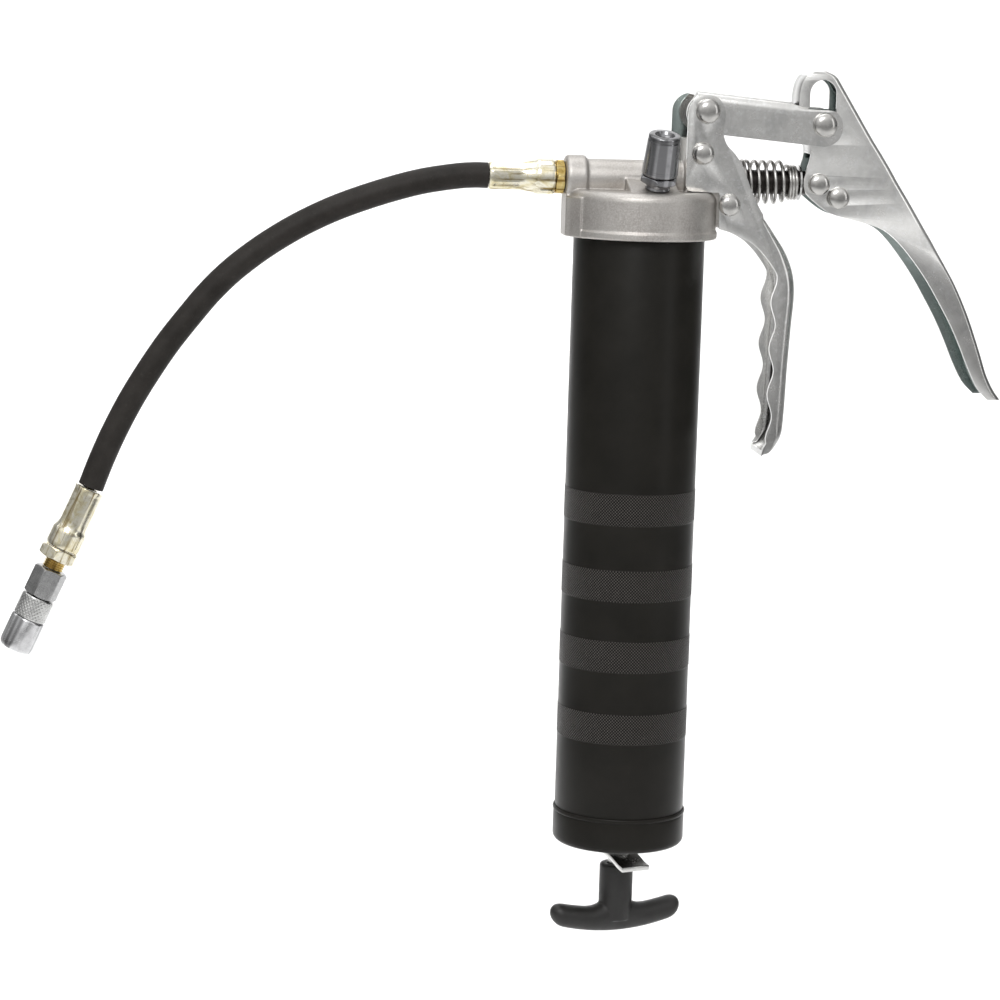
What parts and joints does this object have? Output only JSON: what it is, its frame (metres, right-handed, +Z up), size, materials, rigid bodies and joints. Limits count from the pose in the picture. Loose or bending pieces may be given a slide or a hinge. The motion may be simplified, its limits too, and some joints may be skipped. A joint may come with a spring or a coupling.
{
  "type": "grease gun",
  "caption": "Pistol-grip hand grease gun: knurled barrel, cast head, squeeze lever on a link, return spring, filler nipple, T-handle rod, flexible hose with a grease coupler.",
  "frame": {"origin": "on the barrel's axis at the middle of its knurled zone, where a hand or a clamp holds it", "axes": "+Z up the barrel towards the cast head, +X towards the squeeze lever, +Y away from the side with the filler nipple"},
  "size_m": [0.4297, 0.0666, 0.3798],
  "materials": {
    "zinc_plate": "satin zinc plate",
    "cast_metal": "sandy cast surface",
    "black_enamel": "semi-gloss black enamel",
    "black_plastic": "moulded black plastic",
    "blackened_steel": "blackened and oiled",
    "hose_rubber": "matte rubber hose cover",
    "seal_rubber": "matte seal rubber",
    "yellow_zinc": "yellow zinc plate",
    "bright_steel": "bright machined steel",
    "spring_steel": "drawn spring wire"
  },
  "bodies": {
    "gun": {"barrel_tube": "black_enamel", "bracket_rivet_lower": "bright_steel", "bracket_rivet_upper": "bright_steel", "check_spring": "spring_steel", "coupler_body": "bright_steel", "coupler_jaw_1": "bright_steel", "coupler_jaw_2": "bright_steel", "coupler_jaw_3": "bright_steel", "coupler_nose": "bright_steel", "coupler_seal": "seal_rubber", "coupler_sleeve": "bright_steel", "coupler_stub": "bright_steel", "end_cap": "black_enamel", "filler_body": "bright_steel", "filler_hex": "bright_steel", "filler_spring": "spring_steel", "follower_spring": "spring_steel", "grip_bracket": "zinc_plate", "head_gasket": "seal_rubber", "hose": "hose_rubber", "hose_ferrule_far": "yellow_zinc", "hose_ferrule_near": "yellow_zinc", "hose_nut": "yellow_zinc", "link_pivot_rivet": "bright_steel", "outlet_fitting": "yellow_zinc", "pump_head": "cast_metal", "return_spring": "spring_steel", "rod_bushing": "bright_steel", "rod_lock_hook": "zinc_plate", "spring_seat": "bright_steel"},
    "link": {"lever_link": "zinc_plate", "fulcrum_pin": "bright_steel", "fulcrum_roller": "bright_steel"},
    "plunger": {"pump_plunger": "blackened_steel", "spring_washer": "bright_steel"},
    "lever": {"squeeze_lever": "zinc_plate", "plunger_pin": "bright_steel", "lever_rivet": "bright_steel", "lever_spacer": "bright_steel"},
    "follower": {"follower_cup": "seal_rubber", "follower_washer": "bright_steel"},
    "rod": {"follower_rod": "bright_steel", "follower_nut": "bright_steel", "t_handle": "black_plastic"},
    "rod_lock": {"rod_lock_tab": "zinc_plate"},
    "filler_valve": {"filler_ball": "bright_steel"},
    "check_valve": {"check_ball": "bright_steel"}
  },
  "joints": [
    {"name": "plunger_slide", "type": "slide", "parent": "gun", "child": "plunger", "axis": [-1, 0, 0], "range_m": [0, 0.0136], "deforming": ["return_spring"]},
    {"name": "lever_squeeze", "type": "hinge", "parent": "plunger", "child": "lever", "pos_m": [0.0759, 0, 0.1877], "axis": [0, 1, 0], "range_deg": [0, 32], "stiffness_Nm_per_rad": 0.8, "springref_deg": -28.65},
    {"name": "link_swing", "type": "hinge", "parent": "gun", "child": "link", "pos_m": [0.0253, 0, 0.2167], "axis": [0, 1, 0], "range_deg": [0, 4.8]},
    {"name": "follower_pull", "type": "slide", "parent": "gun", "child": "follower", "axis": [0, 0, -1], "range_m": [0, 0.2], "stiffness_N_per_m": 250, "springref_m": -0.15, "deforming": ["follower_spring"]},
    {"name": "handle_turn", "type": "hinge", "parent": "follower", "child": "rod", "pos_m": [0, 0, -0.13], "axis": [0, 0, 1], "continuous": true},
    {"name": "rod_lock_tilt", "type": "hinge", "parent": "gun", "child": "rod_lock", "pos_m": [-0.00479, 0.01316, -0.1065], "axis": [-0.9397, -0.342, 0], "range_deg": [0, 4], "stiffness_Nm_per_rad": 0.3, "springref_deg": -8.59},
    {"name": "filler_ball_push", "type": "slide", "parent": "gun", "child": "filler_valve", "axis": [-0.045, 0.3, -0.9529], "range_m": [0, 0.001], "stiffness_N_per_m": 400, "springref_m": -0.002},
    {"name": "check_ball_lift", "type": "slide", "parent": "gun", "child": "check_valve", "axis": [-1, 0, 0], "range_m": [0, 0.0012], "stiffness_N_per_m": 300, "springref_m": -0.001}
  ],
  "couplings": [
    {"joint": "plunger_slide", "follows": "lever_squeeze", "m_per_rad": 0.024},
    {"joint": "link_swing", "follows": "lever_squeeze", "ratio": 0.14375}
  ]
}
